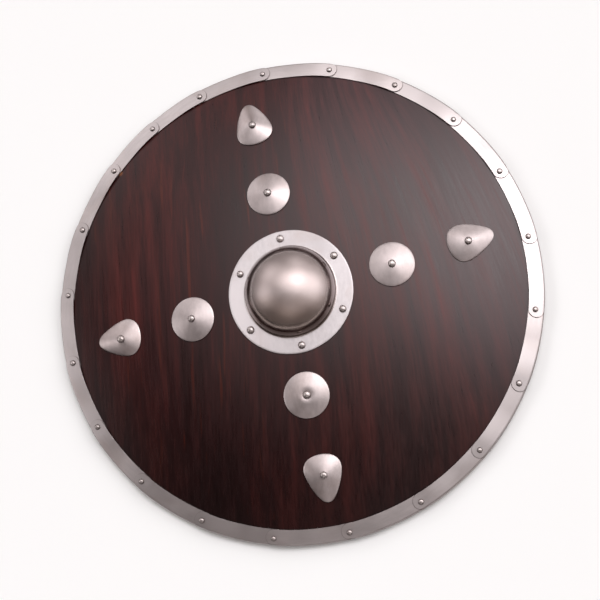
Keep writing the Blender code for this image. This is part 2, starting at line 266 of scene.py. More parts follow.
class Finish(Nodes):
    """A new material with a Principled shader, and the patterns that lead to it."""

    def __init__(self, name, **plain):
        self.material = bpy.data.materials.new(name)
        super().__init__(self.material)
        self.shader = self.tree.nodes["Principled BSDF"]
        self.feed(self.shader, {key.replace("_", " ").title(): v for key, v in plain.items()})

    def place(self, scale=(1, 1, 1), turn=0.0):
        """Object coordinates, turned about Z and stretched."""
        source = self.add("TexCoord").outputs["Object"]
        inputs = {"Vector": source, "Scale": scale, "Rotation": (0, 0, turn)}
        return self.add("Mapping", inputs).outputs["Vector"]

    def distance(self, centre, flat=True):
        """Distance from a point, or, where flat, from the upright line through it."""
        place = self.place((1, 1, 0 if flat else 1))
        inputs = {0: place, 1: centre}
        return self.add("VectorMath", inputs, operation="DISTANCE").outputs["Value"]

    def value(self, name, scale=(1, 1, 1)):
        """A named vector of the piece, stretched."""
        source = self.add("Attribute", attribute_name=name).outputs["Vector"]
        return self.add("Mapping", {"Vector": source, "Scale": scale}).outputs["Vector"]

    def noise(self, vector, scale, detail=3.0, roughness=0.55, distortion=0.0):
        inputs = {"Vector": vector, "Scale": scale, "Detail": detail}
        inputs.update({"Roughness": roughness, "Distortion": distortion})
        return self.add("TexNoise", inputs).outputs["Fac"]

    def parts(self, vector):
        return self.add("SeparateXYZ", {"Vector": vector}).outputs

    def spread(self, value, low, high, to_low=0.0, to_high=1.0, smooth=False):
        """Maps low..high to to_low..to_high and holds the ends."""
        kind = "SMOOTHSTEP" if smooth else "LINEAR"
        inputs = {"Value": value, "From Min": low, "From Max": high}
        inputs.update({"To Min": to_low, "To Max": to_high})
        return self.add("MapRange", inputs, interpolation_type=kind).outputs["Result"]

    def ramp(self, value, stops):
        """Colour along a ramp of (position, colour) stops."""
        node = self.add("ValToRGB", {"Fac": value})
        band = node.color_ramp
        while len(band.elements) < len(stops):
            band.elements.new(1.0)
        for element, (position, colour) in zip(band.elements, stops):
            element.position = position
            element.color = opaque(colour)
        return node.outputs["Color"]

    def bump(self, height, distance, strength):
        inputs = {"Height": height, "Distance": distance, "Strength": strength}
        return self.add("Bump", inputs).outputs["Normal"]

    def finish(self, **inputs):
        self.feed(self.shader, {key.replace("_", " ").title(): v for key, v in inputs.items()})
        return self.material


# Wood ----------------------------------------------------------------------------------------------

# Streaks of the grain from broad flames to open pores, and the amber ones: how many lie across a
# metre and along it, then the noise's detail and roughness
GRAIN = {
    "flames": (14.0, 1.9, 3.0, 0.5),
    "stripes": (70.0, 4.6, 4.0, 0.6),
    "fibre": (430.0, 11.0, 3.0, 0.7),
    "pores": (900.0, 34.0, 2.0, 0.5),
    "amber": (120.0, 4.0, 2.0, 0.5),
}
GRAIN_LEAN = 0.62
GRAIN_SLANT = 0.05
GRAIN_WANDER = 55 * MM
# Where the board's stain is worn off
BARE_SPOT = (-228.5 * MM, 170.0 * MM, 13.5 * MM)


def grain_flow(finish, turn):
    """Object coordinates whose X is the same all along one line of the grain.

    The grain runs along Y and a noise pushes it sideways. Towards +X and +Y it leans over, by a
    lean times the square of the rise, like a board cut across its rings.
    """
    x, y, z = finish.parts(finish.place(turn=turn))
    wander = finish.noise(finish.place((4.0, 1.3, 4.0), turn), 1.0, 2.0)
    lean = finish.spread(x, -100 * MM, 160 * MM, 0.0, GRAIN_LEAN, smooth=True)
    rise = finish.math("MAXIMUM", finish.math("ADD", y, 200 * MM), 0.0)
    leaning = finish.math("MULTIPLY", finish.math("MULTIPLY", rise, rise), lean)
    across = finish.math("ADD", finish.math("MULTIPLY_ADD", y, GRAIN_SLANT, x), leaning)
    across = finish.math("MULTIPLY_ADD", wander, GRAIN_WANDER, across)
    return finish.add("CombineXYZ", {"X": across, "Y": y, "Z": z}).outputs["Vector"]


def grain_streaks(finish, flow, across, along, detail, roughness):
    """Noise stretched along the grain."""
    vector = finish.add("Mapping", {"Vector": flow, "Scale": (across, along, across)})
    return finish.noise(vector.outputs["Vector"], 1.0, detail, roughness)


def painted_sheen_share(finish, x_range, y_range, strength):
    """How strong the painted sheen is: it grows across one range towards +X and one towards +Y."""
    x, y, _ = finish.parts(finish.place())
    rightward = finish.spread(x, *x_range, 0.0, 1.0, smooth=True)
    upward = finish.spread(y, *y_range, 0.0, strength, smooth=True)
    return finish.math("MULTIPLY", upward, rightward)


def board_light_and_wear(finish, stain, tone, stripes, settings):
    """Painted light and shade, grime and wear on the board's stain.

    It is darker along the rim's inner edge, painted shade with some grime, and painted darker low
    down, most of all near the edge on the lower left. Over the top and the right lies a pale painted
    sheen, stronger on the redder streaks. One spot beside the rim is worn bare.
    """
    x, y, _ = finish.parts(finish.place())
    out = finish.distance(MIDDLE)
    # Painted shade with some grime: darker along the rim's inner edge
    grime_and_shade = finish.spread(out, RIM_INNER_RADIUS - 3 * MM, RIM_INNER_RADIUS, 0.0, 0.3)
    stain = finish.blend(grime_and_shade, stain, lighter(settings.dark_colour, 0.5))
    # Painted shade: darker towards the bottom
    stain = finish.blend(finish.spread(y, -200 * MM, 0.0, 0.5, 0.0), stain, BLACK)
    # Painted shade: darkest near the edge on the lower left
    lower_left_shade = finish.spread(finish.math("ADD", x, y), 110 * MM, -170 * MM)
    edge = finish.spread(out, 200 * MM, RIM_INNER_RADIUS, 0.0, 0.4)
    stain = finish.blend(finish.math("MULTIPLY", lower_left_shade, edge), stain, BLACK)

    # Painted sheen: pale colour added over the top and the right, where the light falls, stronger on the
    # redder streaks
    top = painted_sheen_share(finish, (-70 * MM, 80 * MM), (20 * MM, 260 * MM), 1.15)
    right = painted_sheen_share(finish, (80 * MM, 280 * MM), (-180 * MM, 0.0), 1.35)
    thickness = finish.spread(tone, 0.0, 0.6, 0.55, 1.0)
    painted_sheen = finish.math("MULTIPLY", finish.math("MAXIMUM", top, right), thickness)
    stain = finish.blend(painted_sheen, stain, settings.painted_sheen_colour, "ADD")

    ragged = finish.math("MULTIPLY_ADD", stripes, 5 * MM, finish.distance(BARE_SPOT, flat=False))
    bare = finish.spread(ragged, 3.5 * MM, 6.5 * MM, 0.9, 0.0)
    return finish.blend(bare, stain, settings.bare_colour)


def stained_wood(name, settings, turn=0.0, gloss=True):
    """Dark mahogany stain: flames, red and amber streaks, fine fibre and dark pores along the grain.

    The turn brings the grain from Y to the piece's own length. gloss adds what only the board's
    face has: painted light and shade, grime, a worn spot, and lacquer that is duller over open fibre,
    so that its haze shows the flames too, and smoother at the lower left. Amber streaks keep to the
    left.
    """
    finish = Finish(name)
    flow = grain_flow(finish, turn)
    flames, stripes, fibre, pores, amber = (
        grain_streaks(finish, flow, *grain) for grain in GRAIN.values()
    )
    x, y, _ = finish.parts(finish.place(turn=turn))
    mixed = finish.math("MULTIPLY_ADD", stripes, 0.70, finish.math("MULTIPLY", flames, 0.60))
    mixed = finish.math("MULTIPLY_ADD", fibre, 0.22, mixed)
    tone = finish.spread(mixed, 0.56, 0.98)
    dark, body, red = settings.dark_colour, settings.body_colour, settings.streak_colour
    stain = finish.ramp(tone, ((0.0, dark), (0.45, body), (0.80, red), (1.0, lighter(red, 1.4))))
    to_the_left = finish.spread(x, -60 * MM, 50 * MM, 0.8, 0.1)
    amber = finish.math("MULTIPLY", finish.spread(amber, 0.63, 0.74, smooth=True), to_the_left)
    stain = finish.blend(amber, stain, lighter((red[0], red[1] * 1.6, red[2] * 0.7), 1.3))
    pore_share = finish.spread(pores, 0.60, 0.72, 0.0, 0.45)
    stain = finish.blend(pore_share, stain, lighter(dark, 0.5))

    coarse = settings.roughness if gloss else settings.roughness + 0.2
    shine = finish.math("MULTIPLY_ADD", fibre, 0.16, coarse - 0.14)
    shine = finish.math("MULTIPLY_ADD", stripes, 0.12, shine)
    if gloss:
        stain = board_light_and_wear(finish, stain, tone, stripes, settings)
        smoother = finish.spread(finish.math("ADD", x, y), -170 * MM, -310 * MM, 0.0, -0.05)
        shine = finish.math("ADD", shine, smoother)
        finish.feed(finish.shader, {"Specular IOR Level": settings.lacquer})
    relief = finish.math("MULTIPLY_ADD", pores, -0.5, fibre)
    normal = finish.bump(relief, 0.05 * MM, 0.5)
    return finish.finish(base_color=stain, roughness=shine, normal=normal)


# Steel ---------------------------------------------------------------------------------------------

# Patches of painted light and shade, where a steel piece is brighter or darker than the rest: the
# centre, how far the patch reaches and how bright it is against the plain steel
RIM_PAINTED_LIGHT = (
    ((69 * MM, 287 * MM, 0.0), 130 * MM, 1.36),
    ((274 * MM, -108 * MM, 0.0), 115 * MM, 0.70),
    ((209 * MM, -209 * MM, 0.0), 65 * MM, 1.28),
    ((-263 * MM, -134 * MM, 0.0), 80 * MM, 0.82),
)
BOSS_PAINTED_LIGHT = (
    ((-62 * MM, -24 * MM, 0.0), 100 * MM, 1.25),
    ((40 * MM, 62 * MM, 0.0), 80 * MM, 0.84),
)
# The dome's finish ends within these distances from the middle, and the smooth ring at its foot,
# darkened by a painted reflection, lies round this centre
DOME_END = (56.5 * MM, 59.0 * MM)
FOOT_CENTRE = (3.6 * MM, -1.7 * MM, 0.0)
FOOT_ROUGHNESS = 0.20


def with_painted_light(finish, tint, colour, painted_light):
    """The tint with its patches of painted light and shade, which fade out smoothly."""
    for centre, reach, brightness in painted_light:
        share = finish.spread(finish.distance(centre), 0.0, reach, 1.0, 0.0, smooth=True)
        tint = finish.blend(share, tint, lighter(colour, brightness))
    return tint


def strip_tint(finish, tint, colour, brown, brush):
    """A rim strip's own tone, painted shade and grime round the tongue on it, and painted shade on its
    bend.
    """
    own = finish.noise(finish.value(brush, (0.8, 0.0, 0.0)), 1.0, 0.0)
    tint = finish.blend(finish.spread(own, 0.35, 0.65), tint, lighter(colour, 0.86))
    _, across, past_tongue = finish.parts(finish.value(brush))
    # Painted shade with some grime: darker just past the edge of the tongue that lies on the strip
    grime_and_shade = finish.spread(past_tongue, 0.1 * MM, 0.9 * MM, 0.6, 0.0)
    tint = finish.blend(grime_and_shade, tint, lighter(brown, 0.2))
    # Painted shade: darker towards the outer bend, across the strip
    side = finish.spread(across, 17.5 * MM, 20.0 * MM, 0.0, 0.6)
    return finish.blend(side, tint, lighter(brown, 0.3))


def dome_finish(finish, tint, roughness, cloud, bloom, dome_roughness, colour):
    """The boss's tint and roughness, changed inside the dome.

    The dome has its own colour, with painted shade in a browner tint low down. Its foot turns smooth
    in a ring that lies a little off the middle, and a painted dark reflection darkens that ring.
    """
    _, y, _ = finish.parts(finish.place())
    inside = finish.spread(finish.distance(MIDDLE), *DOME_END, 1.0, 0.0, smooth=True)
    to_foot = finish.distance(FOOT_CENTRE)
    smooth_ring = finish.spread(
        to_foot, 42.0 * MM, 47.0 * MM, dome_roughness, FOOT_ROUGHNESS, smooth=True
    )
    dullness = finish.spread(inside, 0.0, 1.0, roughness, smooth_ring)
    plain = finish.blend(finish.spread(cloud, 0.3, 0.7), lighter(colour, 0.9), colour)
    # Painted shade: the dome is darker and browner low down
    low = finish.math("MULTIPLY_ADD", bloom, 30 * MM, y)
    brown = (colour[0] * 0.8, colour[1] * 0.7, colour[2] * 0.6)
    dome_tint = finish.blend(finish.spread(low, 6 * MM, -22 * MM, 0.0, 0.6), plain, brown)
    # Painted reflection: the ring at the dome's foot is darkened
    foot = finish.spread(to_foot, 43.5 * MM, 48.0 * MM, 0.0, 0.45, smooth=True)
    dome_tint = finish.blend(foot, dome_tint, lighter(colour, 0.1))
    return finish.blend(inside, tint, dome_tint), dullness


def pitted(finish, tint, relief, colour, depth):
    """The tint and relief with small pits: the middles of some of the cells of a Voronoi pattern."""
    inputs = {"Vector": finish.place(), "Scale": 75.0, "Randomness": 1.0}
    cells = finish.add("TexVoronoi", inputs)
    spot = finish.spread(cells.outputs["Distance"], 0.04, 0.075, 1.0, 0.0)
    chosen = finish.spread(finish.parts(cells.outputs["Color"])[0], 0.62, 0.66)
    spot = finish.math("MULTIPLY", spot, chosen)
    tint = finish.blend(finish.math("MULTIPLY", spot, depth), tint, colour)
    return tint, finish.math("MULTIPLY_ADD", spot, -2.0, relief)


def satin_steel(
    name, colour, roughness, brush=None, foot=None, patina=0.35, pits=0.0, dome=None, painted_light=()
):
    """Hand-finished mild steel: cloudy, mottled satin with fine scratches and a faint brown bloom.

    brush, where given, is the name of a vector whose X runs along the brush strokes, and foot that
    of one whose X is the height over the sheet below, where shade is painted with some grime. patina
    is the strength of the brown bloom and pits that of the pits. dome, where given, holds the
    roughness and the colour of the boss's dome. The patches are painted light and shade.
    """
    finish = Finish(name, metallic=1.0)
    brown = (colour[0] * 0.66, colour[1] * 0.52, colour[2] * 0.44)
    cloud = finish.noise(finish.place(), 24.0, 4.0, 0.6)
    bloom = finish.noise(finish.place(), 11.0, 5.0, 0.65, 0.6)
    if brush is None:
        scratch = finish.noise(finish.place((1.0, 0.22, 1.0), 0.6), 900.0, 2.0)
        mottle = finish.noise(finish.place((1.0, 0.5, 1.0), 0.6), 190.0, 4.0, 0.7)
    else:
        scratch = finish.noise(finish.value(brush, (30.0, 1500.0, 0.0)), 1.0, 3.0, 0.6)
        mottle = finish.noise(finish.value(brush, (45.0, 330.0, 0.0)), 1.0, 4.0, 0.7)
    tint = finish.blend(finish.spread(cloud, 0.3, 0.7), lighter(colour, 0.9), lighter(colour, 1.08))
    tint = finish.blend(finish.spread(mottle, 0.62, 0.38, 0.0, 0.16), tint, lighter(colour, 0.35))
    # Painted light and shade in brighter and darker patches
    tint = with_painted_light(finish, tint, colour, painted_light)
    tint = finish.blend(finish.spread(bloom, 0.52, 0.72, 0.0, patina), tint, brown)
    if brush is not None:
        tint = strip_tint(finish, tint, colour, brown, brush)
    if foot is not None:
        # Painted shade with some grime: darker at the foot of a rivet's head, where it meets the sheet
        height = finish.parts(finish.value(foot))[0]
        grime_and_shade = finish.spread(height, 0.3 * MM, 1.7 * MM, 0.85, 0.0)
        tint = finish.blend(grime_and_shade, tint, lighter(brown, 0.15))
    dullness = roughness
    if dome is not None:
        tint, dullness = dome_finish(finish, tint, roughness, cloud, bloom, *dome)
    uneven = finish.math("MULTIPLY_ADD", cloud, 0.4, finish.math("MULTIPLY", scratch, 0.25))
    shine = finish.math("MULTIPLY", finish.math("ADD", uneven, 0.675), dullness)
    relief = finish.math("MULTIPLY", scratch, 0.5)
    if pits:
        tint, relief = pitted(finish, tint, relief, lighter(brown, 0.35), pits)
    normal = finish.bump(relief, 0.02 * MM, 0.35)
    return finish.finish(base_color=tint, roughness=shine, normal=normal)


# Settings ------------------------------------------------------------------------------------------


def length_setting(name, description, millimetres):
    return FloatProperty(
        name=name, description=description, default=millimetres * MM, min=0.0, unit="LENGTH"
    )


def share_setting(name, description, default):
    return FloatProperty(
        name=name, description=description, default=default, min=0.0, max=1.0, subtype="FACTOR"
    )


def colour_setting(name, description, default):
    return FloatVectorProperty(
        name=name, description=description, default=default, min=0.0, max=1.0, size=3, subtype="COLOR"
    )


class BoardSettings(bpy.types.PropertyGroup):
    thickness: length_setting("Thickness", "Thickness of the board", 12.0)
    edge: length_setting("Edge Radius", "Rounding of the hand hole's edges", 1.5)
    unevenness: length_setting("Unevenness", "Height of the waves left by hand sanding", 0.05)
    dark_colour: colour_setting("Dark Stain", "Darkest stripes of the grain", (0.014, 0.0008, 0.001))
    body_colour: colour_setting("Stain", "Main colour of the stain", (0.027, 0.0015, 0.0018))
    streak_colour: colour_setting("Streaks", "Reddish streaks", (0.056, 0.004, 0.003))
    bare_colour: colour_setting("Bare Wood", "Wood where the stain is worn off", (0.21, 0.075, 0.03))
    # Pale colour added over the top and the right of the board's face: a painted sheen where the light
    # falls
    painted_sheen_colour: colour_setting("Painted Sheen", "Pale painted sheen, top and right", (0.023, 0.0155, 0.0175))
    roughness: share_setting("Roughness", "Dullness of the lacquer", 0.31)
    lacquer: share_setting("Lacquer", "Strength of the lacquer's reflection", 0.4)


class RimSettings(bpy.types.PropertyGroup):
    width: length_setting("Width", "Width of the strip on the front", 18.6)
    back_width: length_setting("Back Width", "Width of the strip on the back", 16.0)
    bend: length_setting("Bend Radius", "Radius of the bend at the outer edge", 2.4)
    crown: length_setting("Crown", "How far the front flange drops towards its outer edge", 0.2)
    bedding: length_setting("Bedding", "Height of the strips over the board", 0.2)
    climb: length_setting("Climb", "Length over which a strip climbs onto the next one", 50.0)
    unevenness: length_setting("Unevenness", "Height of the waves along a strip", 0.08)
    tuck: length_setting("Tuck", "How far a strip runs on under the one before it", 8.0)
    side_joint: length_setting("Side Joint", "How far the sides stop short of the rivet", 6.0)
    colour: colour_setting("Colour", "Colour of the rim's steel", (0.57, 0.512, 0.512))
    roughness: share_setting("Roughness", "Dullness of the rim's steel", 0.38)


class BossSettings(bpy.types.PropertyGroup):
    radius: length_setting("Dome Radius", "Radius of the raised dome", 56.0)
    rise: length_setting("Rise", "Height of the dome over the flange", 40.0)
    sheet: length_setting("Sheet", "Thickness of the boss", 1.5)
    fillet: length_setting("Fillet", "Radius between dome and flange", 2.5)
    unevenness: length_setting("Unevenness", "Height of the hammered waves in the dome", 0.10)
    colour: colour_setting("Colour", "Colour of the flange", (0.60, 0.553, 0.563))
    dome_colour: colour_setting("Dome Colour", "Colour of the dome", (0.545, 0.458, 0.446))
    roughness: share_setting("Roughness", "Dullness of the flange", 0.48)
    dome_roughness: share_setting("Dome Roughness", "Dullness of the dome", 0.43)


class PlateSettings(bpy.types.PropertyGroup):
    bulge: share_setting("Bulge", "How much rounder than a cone a plate is", 0.40)
    edge: length_setting("Edge Radius", "Rounding of a plate's edge", 0.35)
    unevenness: length_setting("Unevenness", "How far a hand-cut outline wanders", 0.25)
    dent: length_setting("Dent", "How deep the dented plate is sunk round its rivet", 2.0)
    colour: colour_setting("Colour", "Colour of the plates' steel", (0.495, 0.428, 0.425))
    roughness: share_setting("Roughness", "Dullness of the plates' steel", 0.40)


class RivetSettings(bpy.types.PropertyGroup):
    rim_head: length_setting("Rim Head Height", "Height of a rim rivet's head", 2.5)
    rim_sink: length_setting("Rim Sink", "How deep a rim rivet's head is driven in", 0.6)
    boss_head: length_setting("Boss Head Height", "Height of a boss rivet's head", 3.5)
    plate_head: length_setting("Plate Head Height", "Height of a plate rivet's head", 3.6)
    shank: length_setting("Shank Radius", "Radius of the larger rivets' shanks", 2.3)
    hammering: length_setting("Hammering", "Depth of the hammer marks on a head", 0.07)
    colour: colour_setting("Colour", "Colour of the rivets' steel", (0.515, 0.455, 0.445))
    roughness: share_setting("Roughness", "Dullness of the rivets' steel", 0.35)


class GripSettings(bpy.types.PropertyGroup):
    length: length_setting("Length", "Length of the grip", 172.0)
    width: length_setting("Width", "Width of the grip at its ends", 30.0)
    waist: length_setting("Waist", "Width of the grip at its middle", 25.0)
    dark_colour: colour_setting("Dark Stain", "Darkest stripes of the grain", (0.016, 0.008, 0.006))
    body_colour: colour_setting("Stain", "Main colour of the stain", (0.045, 0.018, 0.012))
    streak_colour: colour_setting("Streaks", "Reddish streaks", (0.090, 0.030, 0.018))
    roughness: share_setting("Roughness", "Dullness of the oiled wood", 0.5)


class StageSettings(bpy.types.PropertyGroup):
    camera_distance: length_setting("Camera Distance", "From the board's edge level", 1572.0)
    camera_tilt: FloatProperty(
        name="Camera Tilt",
        description="Angle of the camera off the shield's axis",
        default=radians(16.06),
        subtype="ANGLE",
    )
    camera_turn: FloatProperty(
        name="Camera Turn",
        description="Direction of the camera round the axis, from +X",
        default=radians(-48.0),
        subtype="ANGLE",
    )
    lens: FloatProperty(
        name="Lens", description="Focal length", default=76.28, min=1.0, unit="CAMERA"
    )
    lamp_light: FloatProperty(
        name="Lamp Light", description="Strength of all the lamps", default=0.85, min=0.0
    )
    lamp_colour: colour_setting("Lamps", "Colour of the lamps' light", (0.94, 0.925, 0.93))
    room_light: share_setting("Room Light", "Strength of the light from the room", 0.04)
    room_colour: colour_setting("Room", "Colour of the dim parts of the room", (1.0, 0.80, 0.72))
    floor_colour: colour_setting("Floor", "Colour of the floor", (0.97, 0.97, 0.97))


# Board ---------------------------------------------------------------------------------------------

# The sanding waves are drawn out along the grain and die away within this distance of the rim
ALONG_GRAIN = (1.0, 0.35, 1.0)
FADE_OUT = 10 * MM


def board_surface(settings):
    """The board's closed wall: domed face out to the edge, then the planed land and the hollow back.

    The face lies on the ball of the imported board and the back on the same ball, lower by the
    thickness, but never under the level where the rim's back flange wraps it.
    """
    land_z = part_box("board")[0].z
    radius = np.linspace(HAND_HOLE_RADIUS, BOARD_RADIUS, 150)
    front = np.stack([radius, face_z(radius)], -1)
    back = np.stack([radius, np.maximum(land_z, face_z(radius) - settings.thickness)], -1)[::-1]
    edge = np.linspace(front[-1], back[0], 6)[1:-1]
    hole = np.linspace(back[-1], front[0], 8)[1:-1]
    profile = np.concatenate([front, edge, back, hole])
    grid = turned(profile, 288)
    inside_rim = RIM_INNER_RADIUS - np.hypot(grid[..., 0], grid[..., 1])
    fade = np.clip(inside_rim / FADE_OUT, 0.0, 1.0)
    waves = ripple(grid * ALONG_GRAIN, 45 * MM, 3)
    grid[..., 2] += settings.unevenness * fade * waves
    return grid


class SHIELD_OT_board(bpy.types.Operator):
    """Build the domed wooden board with its hand hole"""

    bl_idname = "shield.board"
    bl_label = "Board"

    def execute(self, context):
        settings = context.scene.shield_board
        wood = stained_wood("board_wood", settings)
        grid = board_surface(settings)
        piece = grid_piece("wooden_board", grid, (True, True), wood, ["board"])
        piece.data.materials.append(stained_wood("board_back_wood", settings, gloss=False))
        normals = np.empty(len(piece.data.polygons) * 3)
        piece.data.polygons.foreach_get("normal", normals)
        faces_down = normals[2::3] < -0.5
        piece.data.polygons.foreach_set("material_index", faces_down.astype(np.int32))
        round_edges(piece, settings.edge)
        return {"FINISHED"}


# Rim -----------------------------------------------------------------------------------------------

RIM_RIVETS = nodes_named("rim_rivet_")
RIM_SEGMENTS = nodes_named("rim_segment_")
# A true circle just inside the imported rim, whose outline has many short sides
SHIELD_RADIUS = 304.3 * MM
RIM_LAP_STEP = SHEET + GAP
RIM_OUT_STEP = 0.4 * MM
RIM_START_RADIUS = SHIELD_RADIUS - RIM_OUT_STEP
RIM_INNER_RADIUS = RIM_START_RADIUS - 18.6 * MM
RIM_RIVET_RADIUS = 295.4 * MM
SIDE_LEAN = radians(11)
SIDE_GAP = 0.45 * MM
# Rows of the front flange that run on under the tongue of the strip before
TUCKED = slice(3, 14)
# How far each strip's pattern lies along the noise from that of the strip before
PATTERN_STEP = 1.7


def offset_inward(skin, thickness):
    """The section's inner line: each point moved across the line by the sheet's thickness.

    The move is square to the line, on its right-hand side, and longer at a corner, where it goes
    along the bisector by thickness over the cosine of half the turn.
    """
    step = np.diff(skin, axis=0)
    step /= np.linalg.norm(step, axis=1)[:, None]
    before = np.concatenate([step[:1], step])
    after = np.concatenate([step, step[-1:]])
    bisector = before + after
    bisector /= np.linalg.norm(bisector, axis=1)[:, None]
    stretch = 1 / (bisector * after).sum(1)
    right = np.stack([bisector[:, 1], -bisector[:, 0]], -1)
    return skin + right * (thickness * stretch)[:, None]


def rim_section(settings):
    """The strip's outer line across its width, and how far the strip runs past its rivets there.

    From the inner edge of the front flange the line runs out over the crowned flange, round the
    bend, down the side and back in under the board. The front ends in a half-round tongue, whose
    reach is a circle's root. Round the bend the reach falls evenly to that of the side and the
    back, which stop short of the rivet.
    """
    half, bend = settings.width / 2, settings.bend
    middle = RIM_START_RADIUS - half
    flange = middle + half * np.sin(np.linspace(-pi / 2, np.arcsin(1 - bend / half), 17))
    share = (flange - middle + half) / settings.width
    top = face_z(flange) + settings.bedding + SHEET - settings.crown * share**2
    lean = pi / 2 - SIDE_LEAN
    centre = (RIM_START_RADIUS - bend, top[-1] - bend * sin(lean))
    corner = np.array(arc(centre, bend, lean, 0.0, 8))[1:]
    low = 0.7 * bend
    under = np.array(arc((RIM_START_RADIUS - low, low), low, 0.0, -pi / 2, 6))
    side = np.linspace(corner[-1], under[0], 5)[1:-1]
    back_edge = RIM_START_RADIUS - settings.back_width
    back = np.linspace(under[-1], (back_edge, 0.0), 6)[1:]
    skin = np.concatenate([np.stack([flange, top], -1), corner, side, under, back])
    front_count = len(flange) + len(corner)
    last = np.full(len(skin), -settings.side_joint)
    tongue = np.sqrt(half**2 - (flange - middle) ** 2)
    last[:front_count] = np.r_[tongue, np.linspace(tongue[-1], -settings.side_joint, 8)[1:]]
    first = np.full(len(skin), settings.side_joint - SIDE_GAP)
    first[TUCKED] = settings.tuck - GAP
    return skin, first, last


def rim_strip(settings, seat, following):
    """Points of one strip and their places on it: its section carried round the edge.

    A point's angle is its rivet's angle less travel over radius. Towards its end the strip climbs
    smoothly by one sheet, and a little outwards, onto the start of the next. Its place holds the
    travel, the way across, and the distance past the tongue that ends on it.
    """
    length = RIM_RIVET_RADIUS * ((seat.angle - following.angle) % (2 * pi))
    skin, first, last = rim_section(settings)
    inner = offset_inward(skin, SHEET)
    loop = np.concatenate([skin, inner[::-1]])
    first = np.concatenate([first, first[::-1]])
    last = np.concatenate([last, last[::-1]])
    radius, height = loop[:, :1], loop[:, 1:]
    station = np.linspace(0, 1, 64)
    travel = -first[:, None] + station * (length + first + last)[:, None]
    share = np.clip((travel - length + settings.tuck) / settings.climb + 1, 0, 1)
    climb = share**2 * (3 - 2 * share)
    angle = seat.angle - travel / RIM_RIVET_RADIUS
    top_share = np.clip((height - 2 * SHEET) / (skin[:, 1].max() / 2), 0, 1)
    radius = radius + RIM_OUT_STEP * climb
    grid = np.stack([radius * np.cos(angle), radius * np.sin(angle)], -1)
    z = height + RIM_LAP_STEP * climb * top_share
    z = z + settings.unevenness * top_share * ripple(grid, 50 * MM, 11)
    across = np.cumsum(np.r_[0, np.linalg.norm(np.diff(loop, axis=0), axis=1)])
    across = np.broadcast_to(across[:, None], travel.shape)
    half = settings.width / 2
    past_tongue = np.hypot(travel, loop[:, :1] - SHIELD_RADIUS + half) - half
    place = np.stack([travel, across, past_tongue], -1)
    return np.concatenate([grid, z[..., None]], -1), place


def strip_faces(rows, columns):
    """Faces of a closed loop of rows carried along the columns, with a strip of quads at each end.

    The first half of the rows is the outer line and the second half the inner line, reversed.
    """
    around = grid_faces(rows, columns, True, False)
    row = np.arange(rows // 2 - 1)
    ring = np.stack([row, row + 1, rows - 2 - row, rows - 1 - row], -1) * columns
    return np.concatenate([around, ring, ring + columns - 1])


class SHIELD_OT_rim(bpy.types.Operator):
    """Build the rim from bent steel strips, each lapped over the start of the next"""

    bl_idname = "shield.rim"
    bl_label = "Rim"

    def execute(self, context):
        settings = context.scene.shield_rim
        plain = (settings.colour, settings.roughness)
        steel = satin_steel("rim_steel", *plain, brush="strip", painted_light=RIM_PAINTED_LIGHT)
        seats = [Seat(node, 0.0) for node in RIM_RIVETS]
        for index, node in enumerate(RIM_SEGMENTS):
            points, place = rim_strip(settings, seats[index], seats[(index + 1) % len(seats)])
            values = {"strip": place + (index * PATTERN_STEP, 0.0, 0.0)}
            name = node.replace("segment", "strip")
            faces = strip_faces(*points.shape[:2])
            piece = make_piece(name, points, faces, steel, [node], values)
            round_edges(piece, 0.25 * MM)
        return {"FINISHED"}


# Rivets --------------------------------------------------------------------------------------------

# A rivet's head is this squarish, and a set rivet has a peened button of this height and radius
HEAD_POWER = 2.4
BUTTON_HEIGHT = 1.2 * MM
BUTTON_RADIUS = 3.6 * MM
BOSS_RIVET_SHIFT = 0.8 * MM


def rivet_profile(head_radius, head_height, shank_radius, length, tail_radius):
    """Section of a rivet from the top of its head down to its tail.

    The head is a quarter of a squarish oval, radius^2.4 + height^2 constant, on a small upright
    foot. A driven rivet ends in a blunt point and a set one in a low peened button.
    """
    t = np.linspace(0, pi / 2, 14)
    foot = 0.12 * head_height
    head = [
        (head_radius * sin(a) ** (2 / HEAD_POWER), foot + (head_height - foot) * cos(a)) for a in t
    ]
    points = head + [(head_radius * 0.97, 0.0), (shank_radius, 0.0)]
    if tail_radius:
        cap, button = BUTTON_HEIGHT, 0.8 * BUTTON_HEIGHT
        points += [(shank_radius, -length + cap), (tail_radius * 0.94, -length + cap)]
        points += [(tail_radius * cos(a), -length + button * (1 - sin(a))) for a in t[1:]]
    else:
        points += [(shank_radius, -length + shank_radius), (0.0, -length)]
    return np.array(points)


def rim_wander(node):
    """How far a rim rivet stands off its circle: inwards, and more at the top and at both sides."""
    angle = Seat(node, 0.0).angle
    return -1.3 * MM - 1.0 * MM * (cos(2 * angle) + sin(angle)), 0.0


def boss_wander(node):
    """How far a boss rivet stands off its mark: all six lie a little towards +X."""
    angle = Seat(node, 0.0).angle
    return BOSS_RIVET_SHIFT * cos(angle), -BOSS_RIVET_SHIFT * sin(angle)


HAMMER_MARKS = 6 * MM


